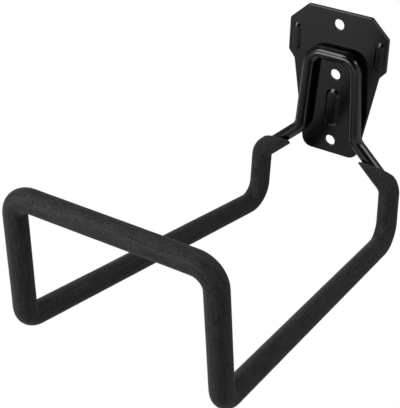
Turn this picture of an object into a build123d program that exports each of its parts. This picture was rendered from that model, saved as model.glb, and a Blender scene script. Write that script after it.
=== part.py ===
from build123d import *
import os

# Wall-mounted hose holder: a pressed steel back plate, one long rod bent into a closed
# loop and welded to the plate, and a thick soft coating over the part that carries the hose.
#
# All sizes are in millimetres. The plate's wall face is the plane Y = 0 and the holder
# reaches out along -Y. +X is to the right for someone who faces the wall and +Z is up.
# The origin is the centre of the middle screw hole, on the wall face.

# Back plate, pressed from sheet

plate_thickness = 2.5
plate_width = 74.0
plate_rise = 46.5  # top edge above the middle hole
plate_drop = 60.0  # bottom edge below the middle hole
top_edge_width = 47.5  # between the two upper bevels
upper_bevel_drop = 12.5  # how far the upper bevels come down the sides
side_height = 23.5  # the two upright sides
neck_step_in = 4.8  # the small bevels under the sides, inwards
neck_step_drop = 5.6  # and downwards
bottom_edge_width = 41.5
outline_radius = 2.5  # upper corners
bottom_radius = 7.5  # the two lower corners
edge_round = 0.6  # front edge, rounded by the blanking tool

# Screw holes, on the centre line

hole_diameter = 8.0
top_hole_rise = 36.5
bottom_hole_drop = 50.5

# Ribs pressed out of the plate to the front, with a groove behind each

rib_height = 1.5
rib_draft = 50.0  # how far the sides lean in, in degrees
rib_crown_round = 1.0
groove_inset = 1.0  # the groove is this much smaller all round
side_rib_length = 20.0
side_rib_width = 7.0
side_rib_offset = 31.5  # from the centre line
side_rib_rise = 21.0  # its middle above the middle hole
centre_rib_length = 28.5
centre_rib_width = 11.0
centre_rib_drop = 25.0  # its middle below the middle hole

# Bent rod, a closed loop that is the same on both sides. Widths are between centre lines.

rod_diameter = 9.0
weld_set_down = 0.3  # how far welding flattens the rod against the plate
arch_width = 34.5
arch_rise = 16.0
foot_width = 42.5  # lower ends of the legs that lie on the plate
foot_drop = 43.0
shoulder_width = 102.0  # upper ends of the uprights behind the hose
shoulder_drop = 70.5
heel_width = 104.5  # lower ends of those uprights
heel_drop = 112.5
toe_width = 138.0  # front ends of the arms
toe_drop = 83.5
toe_reach = 254.0  # from the wall
crossbar_width = 133.0
crossbar_rise = 5.5
crossbar_reach = 261.0

# Bend radii on the rod's centre line

arch_bend = 10.0
foot_bend = 12.0
shoulder_bend = 11.0
heel_bend = 13.5
toe_bend = 11.5
crossbar_bend = 13.0

# Soft coating

coating_thickness = 2.7
coating_line_drop = 58.5  # where it stops, on the centre line of both sloping stretches
coating_line_tilt = 40.0  # the dip line in degrees, higher at the front than at the wall
coating_end_round = 0.9
wall_clearance = 0.3  # between the wall and the coating on the uprights

# Worked out from the sizes above

coating_diameter = rod_diameter + 2 * coating_thickness
rod_standoff = plate_thickness + rod_diameter / 2 - weld_set_down
upright_standoff = coating_diameter / 2 + wall_clearance
front_face = Plane.XZ.offset(plate_thickness)
dip_line = Plane((0, -rod_standoff, -coating_line_drop)).rotated((-coating_line_tilt, 0, 0))

# The rod's centre line on the +X side, from the top of the arch round to the crossbar

half_route = [
    (0, -rod_standoff, arch_rise),
    (arch_width / 2, -rod_standoff, arch_rise),
    (foot_width / 2, -rod_standoff, -foot_drop),
    (shoulder_width / 2, -upright_standoff, -shoulder_drop),
    (heel_width / 2, -upright_standoff, -heel_drop),
    (toe_width / 2, -toe_reach, -toe_drop),
    (crossbar_width / 2, -crossbar_reach, crossbar_rise),
    (0, -crossbar_reach, crossbar_rise),
]
bend_radii = [arch_bend, foot_bend, shoulder_bend, heel_bend, toe_bend, crossbar_bend]

with BuildLine() as half_centre_line:
    FilletPolyline(*half_route, radius=bend_radii)
start_section = Plane(origin=half_centre_line.line @ 0, z_dir=half_centre_line.line % 0)


# Back plate

side_top = plate_rise - upper_bevel_drop
side_bottom = side_top - side_height
neck_level = side_bottom - neck_step_drop
neck_width = plate_width - 2 * neck_step_in
right_corners = [
    (top_edge_width / 2, plate_rise),
    (plate_width / 2, side_top),
    (plate_width / 2, side_bottom),
    (neck_width / 2, neck_level),
    (bottom_edge_width / 2, -plate_drop),
]
left_corners = [(-across, up) for across, up in reversed(right_corners)]

with BuildPart() as back_plate:
    with BuildSketch(Plane.XZ) as plate_outline:
        with BuildLine():
            Polyline(*right_corners, *left_corners, close=True)
        make_face()
        upper_rows = plate_outline.vertices().group_by(Axis.Y)[1:]
        fillet([corner for row in upper_rows for corner in row], radius=outline_radius)
        fillet(plate_outline.vertices().group_by(Axis.Y)[0], radius=bottom_radius)
    extrude(amount=plate_thickness)
    fillet(back_plate.faces().sort_by(Axis.Y).first.edges(), radius=edge_round)

    with BuildSketch(front_face) as rib_feet:
        with Locations((-side_rib_offset, side_rib_rise), (side_rib_offset, side_rib_rise)):
            SlotOverall(side_rib_length, side_rib_width, rotation=90)
        with Locations((0, -centre_rib_drop)):
            SlotOverall(centre_rib_length, centre_rib_width, rotation=90)
    extrude(amount=rib_height, taper=rib_draft)
    crown_faces = back_plate.faces().group_by(Axis.Y)[0]
    fillet(crown_faces.edges(), radius=rib_crown_round)

    with BuildSketch(Plane.XZ) as grooves:
        with Locations((-side_rib_offset, side_rib_rise), (side_rib_offset, side_rib_rise)):
            SlotOverall(
                side_rib_length - 2 * groove_inset,
                side_rib_width - 2 * groove_inset,
                rotation=90,
            )
        with Locations((0, -centre_rib_drop)):
            SlotOverall(
                centre_rib_length - 2 * groove_inset,
                centre_rib_width - 2 * groove_inset,
                rotation=90,
            )
    extrude(amount=rib_height, taper=rib_draft, mode=Mode.SUBTRACT)

    with Locations(front_face):
        with Locations((0, top_hole_rise), (0, 0), (0, -bottom_hole_drop)):
            Hole(hole_diameter / 2)


# Bent rod

with BuildPart() as bent_rod:
    with BuildSketch(start_section):
        Circle(rod_diameter / 2)
    sweep(path=half_centre_line.line)
    mirror(about=Plane.YZ)
    add(back_plate.part, mode=Mode.SUBTRACT)


# Soft coating

with BuildPart() as soft_coating:
    with BuildSketch(start_section):
        Circle(coating_diameter / 2)
    sweep(path=half_centre_line.line)
    mirror(about=Plane.YZ)
    with BuildSketch(dip_line) as bare_stretch:
        Rectangle(2 * shoulder_width, toe_reach)
    extrude(amount=coating_line_drop + arch_rise + coating_diameter, mode=Mode.SUBTRACT)
    fillet(soft_coating.faces().filter_by(dip_line).edges(), radius=coating_end_round)
    add(bent_rod.part, mode=Mode.SUBTRACT)


back_plate.part.label = "back_plate"
bent_rod.part.label = "bent_rod"
soft_coating.part.label = "soft_coating"

os.makedirs("parts", exist_ok=True)
export_step(back_plate.part, "parts/back_plate.step")
export_step(bent_rod.part, "parts/bent_rod.step")
export_step(soft_coating.part, "parts/soft_coating.step")
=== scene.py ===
import math

import bpy
from mathutils import Euler, Matrix, Vector


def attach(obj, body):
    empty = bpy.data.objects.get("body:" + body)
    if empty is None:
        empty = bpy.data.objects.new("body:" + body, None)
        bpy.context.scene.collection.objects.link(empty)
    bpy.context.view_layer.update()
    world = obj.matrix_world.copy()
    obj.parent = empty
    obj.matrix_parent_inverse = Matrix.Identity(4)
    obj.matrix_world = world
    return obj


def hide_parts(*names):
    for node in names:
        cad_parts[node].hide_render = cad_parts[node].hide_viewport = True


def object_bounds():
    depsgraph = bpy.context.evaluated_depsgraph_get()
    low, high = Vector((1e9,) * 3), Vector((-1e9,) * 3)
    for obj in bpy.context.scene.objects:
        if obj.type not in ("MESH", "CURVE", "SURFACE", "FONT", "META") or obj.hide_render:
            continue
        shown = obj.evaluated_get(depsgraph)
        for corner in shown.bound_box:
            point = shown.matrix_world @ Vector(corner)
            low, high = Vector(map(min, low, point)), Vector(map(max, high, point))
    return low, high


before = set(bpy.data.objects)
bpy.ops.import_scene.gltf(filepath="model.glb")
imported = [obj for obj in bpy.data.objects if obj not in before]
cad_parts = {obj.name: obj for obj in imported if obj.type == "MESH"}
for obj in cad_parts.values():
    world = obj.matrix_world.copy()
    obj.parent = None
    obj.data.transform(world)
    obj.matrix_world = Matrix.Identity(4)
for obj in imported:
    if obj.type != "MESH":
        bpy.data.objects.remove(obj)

# Wall-mounted hose holder: pressed plate, bent rod and the dipped coating that the hose lies on.
# Metres, wall face at Y = 0, the arms reach out along -Y.

scene = bpy.context.scene
cadLow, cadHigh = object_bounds()
mm = 0.001

# the kinds of node that are used most
maths = "ShaderNodeMath"
vectorMaths = "ShaderNodeVectorMath"
mapRange = "ShaderNodeMapRange"


# sRGB hex to the linear values that a shader wants
def hexColour(text):
    parts = [int(text[i:i + 2], 16) / 255 for i in (1, 3, 5)]
    linear = [c / 12.92 if c <= 0.04045 else ((c + 0.055) / 1.055) ** 2.4 for c in parts]
    return (*linear, 1.0)


# Adds a node and sets its properties. Its inputs are a list or go by name. Each is a value to
# set, a socket to link, or a node whose first output is linked.
def addNode(tree, kind, inputs=(), **settings):
    node = tree.nodes.new(kind)
    for key, value in settings.items():
        setattr(node, key, value)
    for key, value in inputs.items() if isinstance(inputs, dict) else enumerate(inputs):
        source = value.outputs[0] if isinstance(value, bpy.types.Node) else value
        if isinstance(source, bpy.types.NodeSocket):
            tree.links.new(source, node.inputs[key])
        else:
            node.inputs[key].default_value = source
    return node


def newMaterial(name):
    material = bpy.data.materials.new(name)
    material.use_nodes = True
    material.node_tree.nodes.clear()
    return material, material.node_tree


# Powder coat, sprayed and baked on steel: deep black, glossy, with a faint orange peel.
# The eye sees almost only what it mirrors, a little blurred.
plateFinish = {
    "colour": "#040404",
    "ior": 1.5,
    "roughness": 0.13,
    "roughSpread": 0.05,
    "patchSize": 14 * mm,
    "peelSize": 1.1 * mm,
    "peelHeight": 0.0035 * mm,
}

rodFinish = {
    "colour": "#040404",
    "ior": 1.5,
    "roughness": 0.16,
    "roughSpread": 0.06,
    "patchSize": 10 * mm,
    "peelSize": 1.3 * mm,
    "peelHeight": 0.005 * mm,
}

patchRange = (0.3, 0.7)  # nearly all of a noise lies between these


def powderCoat(name, values):
    material, tree = newMaterial(name)
    place = addNode(tree, "ShaderNodeTexCoord").outputs["Object"]
    peel = addNode(tree, "ShaderNodeTexNoise", {
        "Vector": place, "Scale": 1 / values["peelSize"], "Detail": 2.0, "Roughness": 0.45})
    patches = addNode(tree, "ShaderNodeTexNoise", {
        "Vector": place, "Scale": 1 / values["patchSize"], "Detail": 3.0})
    rough = addNode(tree, mapRange, {
        "Value": patches, "From Min": patchRange[0], "From Max": patchRange[1],
        "To Min": values["roughness"] - values["roughSpread"] / 2,
        "To Max": values["roughness"] + values["roughSpread"] / 2})
    bump = addNode(tree, "ShaderNodeBump", {
        "Height": peel, "Distance": values["peelHeight"], "Strength": 1.0})
    shader = addNode(tree, "ShaderNodeBsdfPrincipled", {
        "Base Color": hexColour(values["colour"]), "IOR": values["ior"],
        "Roughness": rough, "Normal": bump})
    addNode(tree, "ShaderNodeOutputMaterial", {"Surface": shader})
    return material


# Soft vinyl from a dip tank: matt black, with a fine close grain and faint streaks along the rod
# where it ran down while it set. It scatters light, so its edges look lighter than its middle.
coatingFinish = {
    "darkColour": "#161617",
    "paleColour": "#3c3c3d",
    "toneRange": (0.40, 0.61),  # from the dark colour to the pale one over this part of the pattern
    "ior": 1.5,
    "specularLevel": 0.20,  # a porous skin mirrors less than a smooth one
    "roughness": 0.66,
    "sheen": 0.14,
    "sheenRoughness": 0.4,
    "grainSize": 0.8 * mm,  # real grain is nearer 0.3 mm, drawn coarser so that it shows
    "grainHeight": 0.07 * mm,
    "streakWidth": 1.6 * mm,
    "streakLength": 14.0 * mm,
    "patchWidth": 5.0 * mm,
    "patchLength": 8.0 * mm,
    "streakShare": 0.30,
    "patchShare": 0.14,
}


# noise over the unrolled skin: a place round the rod, and a place along it
def skinNoise(tree, around, along, width, length, detail):
    wide = addNode(tree, vectorMaths, {0: around, "Scale": 1 / width}, operation="SCALE")
    far = addNode(tree, maths, [along, length], operation="DIVIDE")
    place = addNode(tree, "ShaderNodeSeparateXYZ", [wide]).outputs
    vector = addNode(tree, "ShaderNodeCombineXYZ", [place["X"], place["Y"], far])
    return addNode(tree, "ShaderNodeTexNoise", {
        "Vector": vector, "Scale": 1.0, "Detail": detail, "Roughness": 0.6})


def dippedVinyl(name, values):
    material, tree = newMaterial(name)
    around = addNode(tree, "ShaderNodeAttribute", attribute_name="aroundRod").outputs["Vector"]
    along = addNode(tree, "ShaderNodeAttribute", attribute_name="alongRod").outputs["Fac"]
    grain = skinNoise(tree, around, along, values["grainSize"], values["grainSize"], 2.0)
    streaks = skinNoise(tree, around, along, values["streakWidth"], values["streakLength"], 3.0)
    patches = skinNoise(tree, around, along, values["patchWidth"], values["patchLength"], 2.0)
    grainShare = 1.0 - values["streakShare"] - values["patchShare"]
    pattern = addNode(tree, maths, [grain, grainShare], operation="MULTIPLY")
    for noise, share in ((patches, values["patchShare"]), (streaks, values["streakShare"])):
        pattern = addNode(tree, maths, [noise, share, pattern], operation="MULTIPLY_ADD")
    tone = addNode(tree, mapRange, {
        "Value": pattern, "From Min": values["toneRange"][0], "From Max": values["toneRange"][1]})
    colour = addNode(tree, "ShaderNodeMix", {
        0: tone, 6: hexColour(values["darkColour"]), 7: hexColour(values["paleColour"])},
        data_type="RGBA").outputs[2]
    bump = addNode(tree, "ShaderNodeBump", {
        "Height": grain, "Distance": values["grainHeight"], "Strength": 1.0})
    shader = addNode(tree, "ShaderNodeBsdfPrincipled", {
        "Base Color": colour, "IOR": values["ior"], "Specular IOR Level": values["specularLevel"],
        "Roughness": values["roughness"], "Normal": bump,
        "Sheen Weight": values["sheen"], "Sheen Roughness": values["sheenRoughness"]})
    addNode(tree, "ShaderNodeOutputMaterial", {"Surface": shader})
    return material


platePaint = powderCoat("powderCoatOnSheetSteel", plateFinish)
rodPaint = powderCoat("powderCoatOnSteelRod", rodFinish)
vinyl = dippedVinyl("dippedSoftVinyl", coatingFinish)
print("finishes ready")


# Back plate: the solid's own shape with its paint

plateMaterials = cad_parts["back_plate"].data.materials
plateMaterials.clear()
plateMaterials.append(platePaint)
print("plate painted")


# Bent rod: a closed loop that is the same on both sides of X = 0
rod = {
    "radius": 4.5 * mm,
    # on the +X side, from the arch to the crossbar: a place on the centre line where it bends,
    # and the bend radius there, in millimetres
    "corners": {
        "arch": ((17.25, -6.7, 16.0), 10.0),
        "foot": ((21.25, -6.7, -43.0), 12.0),
        "shoulder": ((51.0, -7.5, -70.5), 11.0),
        "heel": ((52.25, -7.5, -112.5), 13.5),
        "toe": ((69.0, -254.0, -83.5), 11.5),
        "crossbar": ((66.5, -261.0, 5.5), 13.0),
    },
    "bendSteps": 24,
    "sides": 40,
    "ringGap": 1.6 * mm,
}

# Soft coating, from one sloping stretch round to the other
coating = {
    "thickness": 2.7 * mm,
    "lineDrop": 58.5 * mm,  # where the dip line crosses the rod's centre line
    "lineTilt": 40.0,  # degrees, higher at the front
    "lipLength": 2.6 * mm,
    "lipRings": 8,
    "fade": 20 * mm,  # over this length the slanted end turns into square rings
    "sides": 48,
    "ringGap": 1.6 * mm,
    "unevenSize": 16 * mm,
    "unevenness": 0.16 * mm,
    "mergeDistance": 0.002 * mm,
}


def mirrored(corners):
    return [(Vector((-place.x, place.y, place.z)), bend) for place, bend in reversed(corners)]


half = [(Vector([value * mm for value in place]), bend * mm) for place, bend in rod["corners"].values()]
wholeLoop = half + mirrored(half)

# the dip line cuts the sloping stretch between foot and shoulder
foot, shoulder = half[1][0], half[2][0]
share = (foot.z + coating["lineDrop"]) / (foot.z - shoulder.z)
coatingStart = foot.lerp(shoulder, share)
coatedHalf = [(coatingStart, 0.0)] + half[2:]
coatedRoute = coatedHalf + mirrored(coatedHalf)


# a line through the corners, each with its bend radius in an attribute
def routeObject(name, corners, closed):
    mesh = bpy.data.meshes.new(name)
    count = len(corners)
    edges = [(i, (i + 1) % count) for i in range(count if closed else count - 1)]
    mesh.from_pydata([place for place, bend in corners], edges, [])
    bends = mesh.attributes.new("bend", "FLOAT", "POINT")
    for i, (place, bend) in enumerate(corners):
        bends.data[i].value = bend
    obj = bpy.data.objects.new(name, mesh)
    scene.collection.objects.link(obj)
    return obj


# an empty tree whose inputs are the geometry and the given sizes, and those inputs
def newTree(name, sizes):
    tree = bpy.data.node_groups.new(name, "GeometryNodeTree")
    tree.is_modifier = True
    for direction in ("INPUT", "OUTPUT"):
        tree.interface.new_socket("Geometry", in_out=direction, socket_type="NodeSocketGeometry")
    for label, size in sizes.items():
        kind = "NodeSocketInt" if isinstance(size, int) else "NodeSocketFloat"
        tree.interface.new_socket(label, in_out="INPUT", socket_type=kind).default_value = size
    return tree, addNode(tree, "NodeGroupInput").outputs


# the line with its corners rounded to their bend radii
def roundedLine(tree, geometry):
    line = addNode(tree, "GeometryNodeMeshToCurve", {"Mesh": geometry})
    bend = addNode(tree, "GeometryNodeInputNamedAttribute", {"Name": "bend"}, data_type="FLOAT")
    return addNode(tree, "GeometryNodeFilletCurve", {
        "Curve": line, "Count": rod["bendSteps"], "Radius": bend, "Limit Radius": True}, mode="POLY")


# shades the mesh smooth, makes it real and gives it its material
def finishTree(tree, mesh, material):
    smooth = addNode(tree, "GeometryNodeSetShadeSmooth", {"Geometry": mesh, "Shade Smooth": True})
    real = addNode(tree, "GeometryNodeRealizeInstances", {"Geometry": smooth})
    painted = addNode(tree, "GeometryNodeSetMaterial", {"Geometry": real, "Material": material})
    addNode(tree, "NodeGroupOutput", {"Geometry": painted})


# bare rod: a round section swept along the rounded line
def rodTree(material):
    tree, given = newTree("roundRod", {name: rod[name] for name in ("radius", "ringGap", "sides")})
    rings = addNode(tree, "GeometryNodeResampleCurve", {
        "Curve": roundedLine(tree, given["Geometry"]), "Length": given["ringGap"]}, mode="LENGTH")
    section = addNode(tree, "GeometryNodeCurvePrimitiveCircle", {
        "Resolution": given["sides"], "Radius": given["radius"]})
    tube = addNode(tree, "GeometryNodeCurveToMesh", {"Curve": rings, "Profile Curve": section})
    finishTree(tree, tube, material)
    return tree


# The coating's rings, close together at the two lips and even between them. Each one keeps its
# centre, its direction, its share of the full wall and how much it slides at a slanted end.
def coatingRings(tree, given, line):
    length = addNode(tree, "GeometryNodeCurveLength", {"Curve": line})
    steps = addNode(tree, maths, [length, given["ringGap"]], operation="DIVIDE")
    wholeSteps = addNode(tree, maths, [steps], operation="ROUND")
    ringCount = addNode(tree, maths, [given["lipRings"], 2.0, wholeSteps], operation="MULTIPLY_ADD")
    rings = addNode(tree, "GeometryNodeResampleCurve", {
        "Curve": line, "Count": ringCount}, mode="COUNT")

    # ring number, counted from the nearer end
    index = addNode(tree, "GeometryNodeInputIndex")
    last = addNode(tree, maths, [ringCount, 1.0], operation="SUBTRACT")
    fromLast = addNode(tree, maths, [last, index], operation="SUBTRACT")
    fromEnd = addNode(tree, maths, [index, fromLast], operation="MINIMUM")

    # how far along that ring lies: a quarter round over the lip, then even steps to the middle
    lipShare = addNode(tree, maths, [fromEnd, given["lipRings"]], operation="DIVIDE", use_clamp=True)
    turn = addNode(tree, maths, [lipShare, math.pi / 2], operation="MULTIPLY")
    cosine = addNode(tree, maths, [turn], operation="COSINE")
    roundShare = addNode(tree, maths, [1.0, cosine], operation="SUBTRACT")
    alongLip = addNode(tree, maths, [given["lipLength"], roundShare], operation="MULTIPLY")
    middleRing = addNode(tree, maths, [last, 2.0], operation="DIVIDE")
    evenRings = addNode(tree, maths, [middleRing, given["lipRings"]], operation="SUBTRACT")
    halfLength = addNode(tree, maths, [length, 2.0], operation="DIVIDE")
    evenLength = addNode(tree, maths, [halfLength, given["lipLength"]], operation="SUBTRACT")
    evenStep = addNode(tree, maths, [evenLength, evenRings], operation="DIVIDE")
    beyondLip = addNode(tree, maths, [fromEnd, given["lipRings"]], operation="SUBTRACT")
    pastLip = addNode(tree, maths, [beyondLip, 0.0], operation="MAXIMUM")
    along = addNode(tree, maths, [pastLip, evenStep, alongLip], operation="MULTIPLY_ADD")

    # the second half is measured from the other end
    inFarHalf = addNode(tree, maths, [index, middleRing], operation="GREATER_THAN")
    fromFarEnd = addNode(tree, maths, [length, along], operation="SUBTRACT")
    place = addNode(tree, "GeometryNodeSwitch", [inFarHalf, along, fromFarEnd], input_type="FLOAT")
    sample = addNode(tree, "GeometryNodeSampleCurve", {"Curves": line, "Length": place},
                     mode="LENGTH", use_all_curves=True).outputs
    kept = addNode(tree, "GeometryNodeSetPosition", {"Geometry": rings, "Position": sample["Position"]})

    wall = addNode(tree, maths, [turn], operation="SINE")
    slide = addNode(tree, mapRange, {
        "Value": along, "From Max": given["fade"], "To Min": 1.0, "To Max": 0.0},
        interpolation_type="SMOOTHSTEP")
    for name, kind, value in (
            ("ringCentre", "FLOAT_VECTOR", sample["Position"]),
            ("ringDirection", "FLOAT_VECTOR", sample["Tangent"]),
            ("wallShare", "FLOAT", wall),
            ("slide", "FLOAT", slide),
            ("alongRod", "FLOAT", place)):
        kept = addNode(tree, "GeometryNodeStoreNamedAttribute", {
            "Geometry": kept, "Name": name, "Value": value}, data_type=kind, domain="POINT")
    return kept


# outer skin and the inner skin on the rod, which meet in the first ring of each lip
def bothSkins(tree, given, rings):
    circle = addNode(tree, "GeometryNodeCurvePrimitiveCircle", {
        "Resolution": given["sides"], "Radius": 1.0})
    position = addNode(tree, "GeometryNodeInputPosition")
    skinRadius = addNode(tree, maths, [given["rodRadius"], given["thickness"]], operation="ADD")
    onSkin = addNode(tree, vectorMaths, {0: position, "Scale": skinRadius}, operation="SCALE")
    section = addNode(tree, "GeometryNodeStoreNamedAttribute", {
        "Geometry": circle, "Name": "aroundRod", "Value": onSkin},
        data_type="FLOAT_VECTOR", domain="POINT")
    wallShare = addNode(tree, "GeometryNodeInputNamedAttribute", {
        "Name": "wallShare"}, data_type="FLOAT")
    outerRadius = addNode(tree, maths, [given["thickness"], wallShare, given["rodRadius"]],
                          operation="MULTIPLY_ADD")
    outer, inner = [addNode(tree, "GeometryNodeCurveToMesh", {
        "Curve": rings, "Profile Curve": section, "Scale": radius})
        for radius in (outerRadius, given["rodRadius"])]

    # the outer skin is never quite even
    fineness = addNode(tree, maths, [1.0, given["unevenSize"]], operation="DIVIDE")
    noise = addNode(tree, "ShaderNodeTexNoise", {
        "Vector": position, "Scale": fineness, "Detail": 1.0}, noise_dimensions="3D")
    lift = addNode(tree, maths, [noise, 0.5], operation="SUBTRACT")
    for factor in (given["unevenness"], wallShare):
        lift = addNode(tree, maths, [lift, factor], operation="MULTIPLY")
    outward = addNode(tree, "GeometryNodeInputNormal")
    offset = addNode(tree, vectorMaths, {0: outward, "Scale": lift}, operation="SCALE")
    uneven = addNode(tree, "GeometryNodeSetPosition", {"Geometry": outer, "Offset": offset})
    flipped = addNode(tree, "GeometryNodeFlipFaces", {"Mesh": inner})
    both = addNode(tree, "GeometryNodeJoinGeometry", [flipped])
    tree.links.new(uneven.outputs[0], both.inputs[0])
    return both


# slides the points near an end along the rod, by how far each is off the plane of the dip line
def slantEnds(tree, given, skins):
    tilt = addNode(tree, maths, [given["lineTilt"]], operation="RADIANS")
    sine = addNode(tree, maths, [tilt], operation="SINE")
    cosine = addNode(tree, maths, [tilt], operation="COSINE")
    lineNormal = addNode(tree, "ShaderNodeCombineXYZ", [0.0, sine, cosine])
    kinds = {"ringCentre": "FLOAT_VECTOR", "ringDirection": "FLOAT_VECTOR", "slide": "FLOAT"}
    centre, direction, slide = [
        addNode(tree, "GeometryNodeInputNamedAttribute", {"Name": name}, data_type=kind)
        for name, kind in kinds.items()]
    position = addNode(tree, "GeometryNodeInputPosition")
    fromCentre = addNode(tree, vectorMaths, [position, centre], operation="SUBTRACT")
    off, slope = [
        addNode(tree, vectorMaths, [vector, lineNormal], operation="DOT_PRODUCT").outputs["Value"]
        for vector in (fromCentre, direction)]

    # the slope is only used where a ring slides, and elsewhere it is kept away from zero
    slides = addNode(tree, maths, [slide, 0.0], operation="GREATER_THAN")
    rests = addNode(tree, maths, [1.0, slides], operation="SUBTRACT")
    safeSlope = addNode(tree, maths, [slope, rests], operation="ADD")
    distance = addNode(tree, maths, [off, safeSlope], operation="DIVIDE")
    backwards = addNode(tree, maths, [slide, -1.0], operation="MULTIPLY")
    amount = addNode(tree, maths, [distance, backwards], operation="MULTIPLY")
    shift = addNode(tree, vectorMaths, {0: direction, "Scale": amount}, operation="SCALE")
    return addNode(tree, "GeometryNodeSetPosition", {"Geometry": skins, "Offset": shift})


# one coating for both ends: its rings, its two skins, and the slant of its lips
def coatingTree(material):
    names = ("thickness", "lipLength", "lipRings", "ringGap", "fade", "sides", "lineTilt",
             "unevenSize", "unevenness")
    sizes = {name: coating[name] for name in names}
    tree, given = newTree("dippedCoating", {"rodRadius": rod["radius"], **sizes})
    rings = coatingRings(tree, given, roundedLine(tree, given["Geometry"]))
    slanted = slantEnds(tree, given, bothSkins(tree, given, rings))
    closed = addNode(tree, "GeometryNodeMergeByDistance", {
        "Geometry": slanted, "Distance": coating["mergeDistance"]})
    finishTree(tree, closed, material)
    return tree


# runs the tree on the object, keeps the result as a plain mesh and drops the modifier
def plainMesh(obj, tree):
    modifier = obj.modifiers.new(tree.name, "NODES")
    modifier.node_group = tree
    for socket in tree.interface.items_tree:
        if socket.item_type == "SOCKET" and socket.in_out == "INPUT" and socket.name != "Geometry":
            modifier[socket.identifier] = socket.default_value
    depsgraph = bpy.context.evaluated_depsgraph_get()
    mesh = bpy.data.meshes.new_from_object(obj.evaluated_get(depsgraph))
    mesh.name = obj.name
    obj.modifiers.remove(modifier)
    obj.data = mesh
    return obj


rodPiece = plainMesh(routeObject("bentRodLoop", wholeLoop, True), rodTree(rodPaint))
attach(rodPiece, "root")
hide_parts("bent_rod")
print("rod loop made,", len(rodPiece.data.polygons), "faces")

coatingPiece = plainMesh(routeObject("softCoatingSkin", coatedRoute, False), coatingTree(vinyl))
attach(coatingPiece, "root")
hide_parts("soft_coating")
print("coating made,", len(coatingPiece.data.polygons), "faces")


# Studio: a white floor far below, soft lamps above, and a room that only a gloss sees

studio = {
    "floorDrop": 0.62,
    "floorFront": -0.45,  # front edge, between the object and the camera
    "floorBack": 0.22,  # and back edge, a little behind the wall face
    "floorSize": 30.0,
    "floorColour": "#d2d2d2",
    "floorLift": 0.86,  # brings the lit floor up to white, its shadows stay
    "dimCentre": (0.55, 0.95),  # a gloss sees the floor darker right below, up to here sideways
    "dimLevel": 0.35,
    "skyColour": "#ffffff",
    "skyStrength": 0.15,
    # Steps in the room's level, each over how well a direction agrees with the one given: from
    # where to where, the levels before and after, and how it joins the steps before it.
    "room": {
        "lowInFront": ((0.0, 0.0, 1.0), (-0.50, -0.33), (0.16, 0.80), "MULTIPLY"),
        "ceiling": ((0.0, 0.0, 1.0), (0.30, 0.75), (1.0, 0.12), "MULTIPLY"),
        "back": ((0.0, 1.0, 0.0), (0.70, 0.95), (1.0, 0.15), "MULTIPLY"),
        "left": ((-1.0, 0.0, 0.0), (0.72, 0.92), (1.0, 0.25), "MULTIPLY"),
        "paleGround": ((-0.27, -0.63, -0.73), (0.86, 0.97), (0.0, 0.45), "MAXIMUM"),
        "highCorner": ((0.407, -0.801, 0.440), (0.84, 0.96), (1.0, 0.15), "MULTIPLY"),
        "lowCorner": ((0.638, -0.581, -0.506), (0.84, 0.96), (1.0, 0.60), "MULTIPLY"),
    },
}


# Plain white for the camera and through glass. A gloss sees it dimmer below the object.
def makeFloor(values):
    size, front, back = values["floorSize"], values["floorFront"], values["floorBack"]
    level = cadLow.z - values["floorDrop"]
    mesh = bpy.data.meshes.new("floor")
    corners = [(-size, front, level), (size, front, level), (size, back, level), (-size, back, level)]
    mesh.from_pydata(corners, [], [(0, 1, 2, 3)])
    floor = bpy.data.objects.new("floor", mesh)
    scene.collection.objects.link(floor)
    material, tree = newMaterial("paleFloor")
    path = addNode(tree, "ShaderNodeLightPath").outputs
    spot = addNode(tree, "ShaderNodeNewGeometry").outputs["Position"]
    across = addNode(tree, "ShaderNodeSeparateXYZ", [spot]).outputs["X"]
    sideways = addNode(tree, maths, [across], operation="ABSOLUTE")
    dim = addNode(tree, mapRange, {
        "Value": sideways, "From Min": values["dimCentre"][0], "From Max": values["dimCentre"][1],
        "To Min": values["dimLevel"], "To Max": 1.0})
    seen = addNode(tree, maths, [path["Is Glossy Ray"], dim], operation="MULTIPLY")
    for ray in ("Is Camera Ray", "Is Transmission Ray"):
        seen = addNode(tree, maths, [path[ray], seen], operation="MAXIMUM")
    lift = addNode(tree, maths, [seen, values["floorLift"]], operation="MULTIPLY")
    glow = addNode(tree, "ShaderNodeEmission", {"Strength": lift})
    plain = addNode(tree, "ShaderNodeBsdfDiffuse", {"Color": hexColour(values["floorColour"])})
    both = addNode(tree, "ShaderNodeAddShader", [plain, glow])
    addNode(tree, "ShaderNodeOutputMaterial", {"Surface": both})
    mesh.materials.append(material)


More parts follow.
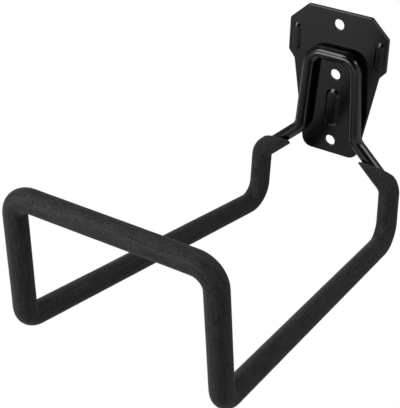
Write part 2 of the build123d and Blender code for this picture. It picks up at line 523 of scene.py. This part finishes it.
# White for the camera and through glass, the room for a gloss, and a faint sky for the rest
def makeSky(values):
    world = bpy.data.worlds.new("whiteStudio")
    world.use_nodes = True
    tree = world.node_tree
    tree.nodes.clear()
    path = addNode(tree, "ShaderNodeLightPath").outputs
    direction = addNode(tree, "ShaderNodeTexCoord").outputs["Generated"]
    room = 1.0
    for towards, reach, levels, joins in values["room"].values():
        agreement = addNode(tree, vectorMaths, [direction, towards], operation="DOT_PRODUCT")
        step = addNode(tree, mapRange, {
            "Value": agreement.outputs["Value"], "From Min": reach[0], "From Max": reach[1],
            "To Min": levels[0], "To Max": levels[1]}, interpolation_type="SMOOTHSTEP")
        room = addNode(tree, maths, [room, step], operation=joins)
    level = addNode(tree, "ShaderNodeMix", {
        0: path["Is Glossy Ray"], 2: 1.0, 3: room}, data_type="FLOAT")
    plain = addNode(tree, "ShaderNodeBackground", {
        "Color": hexColour(values["skyColour"]), "Strength": values["skyStrength"]})
    white = addNode(tree, "ShaderNodeBackground", {"Color": hexColour("#ffffff"), "Strength": level})
    direct = path["Is Glossy Ray"]
    for ray in ("Is Camera Ray", "Is Transmission Ray"):
        direct = addNode(tree, maths, [path[ray], direct], operation="MAXIMUM")
    mixed = addNode(tree, "ShaderNodeMixShader", [direct, plain, white])
    addNode(tree, "ShaderNodeOutputWorld", {"Surface": mixed})
    scene.world = world


lamps = {
    "mainSoftBox": {
        "place": (-0.53, -0.66, 0.84),
        "aim": (0.0, -0.05, -0.02),
        "size": (0.64, 0.64),
        "watts": 6.1,
    },
    "frontFill": {
        "place": (-0.30, -0.80, 0.05),
        "aim": (0.0, -0.25, -0.05),
        "size": (0.45, 0.30),
        "watts": 2.3,
    },
    "sideSoftBox": {
        "place": (0.74, 0.02, 0.72),
        "aim": (0.0, -0.05, -0.05),
        "size": (0.75, 0.25),
        "watts": 2.4,
    },
}


def makeLamp(name, values):
    light = bpy.data.lights.new(name, "AREA")
    light.shape = "RECTANGLE"
    light.size, light.size_y = values["size"]
    light.energy = values["watts"]
    lamp = bpy.data.objects.new(name, light)
    scene.collection.objects.link(lamp)
    place, aim = Vector(values["place"]), Vector(values["aim"])
    turn = (aim - place).to_track_quat("-Z", "Y").to_matrix().to_4x4()
    lamp.matrix_world = Matrix.Translation(place) @ turn


makeFloor(studio)
makeSky(studio)
for lampName, lampValues in lamps.items():
    makeLamp(lampName, lampValues)
print("studio ready")


# Camera, from the photo's perspective: a long lens from the front right and above

camera = {
    "place": (0.33443, -0.70113, 0.34616),
    "turn": 32.294,  # degrees to the left of straight at the wall
    "tilt": 30.400,  # degrees down
    "roll": 1.266,
    "lens": 107.79,
    "sensor": 36.0,
    "clip": (0.01, 100.0),
}


def makeCamera(values):
    data = bpy.data.cameras.new("camera")
    data.lens = values["lens"]
    data.sensor_width = values["sensor"]
    data.clip_start, data.clip_end = values["clip"]
    eye = bpy.data.objects.new("camera", data)
    scene.collection.objects.link(eye)
    look = Euler((math.radians(90 - values["tilt"]), 0.0, math.radians(values["turn"]))).to_matrix()
    look = look @ Matrix.Rotation(math.radians(values["roll"]), 3, "Z")
    eye.matrix_world = Matrix.Translation(values["place"]) @ look.to_4x4()
    scene.camera = eye


makeCamera(camera)
scene.view_settings.view_transform = "Standard"
print("camera ready")
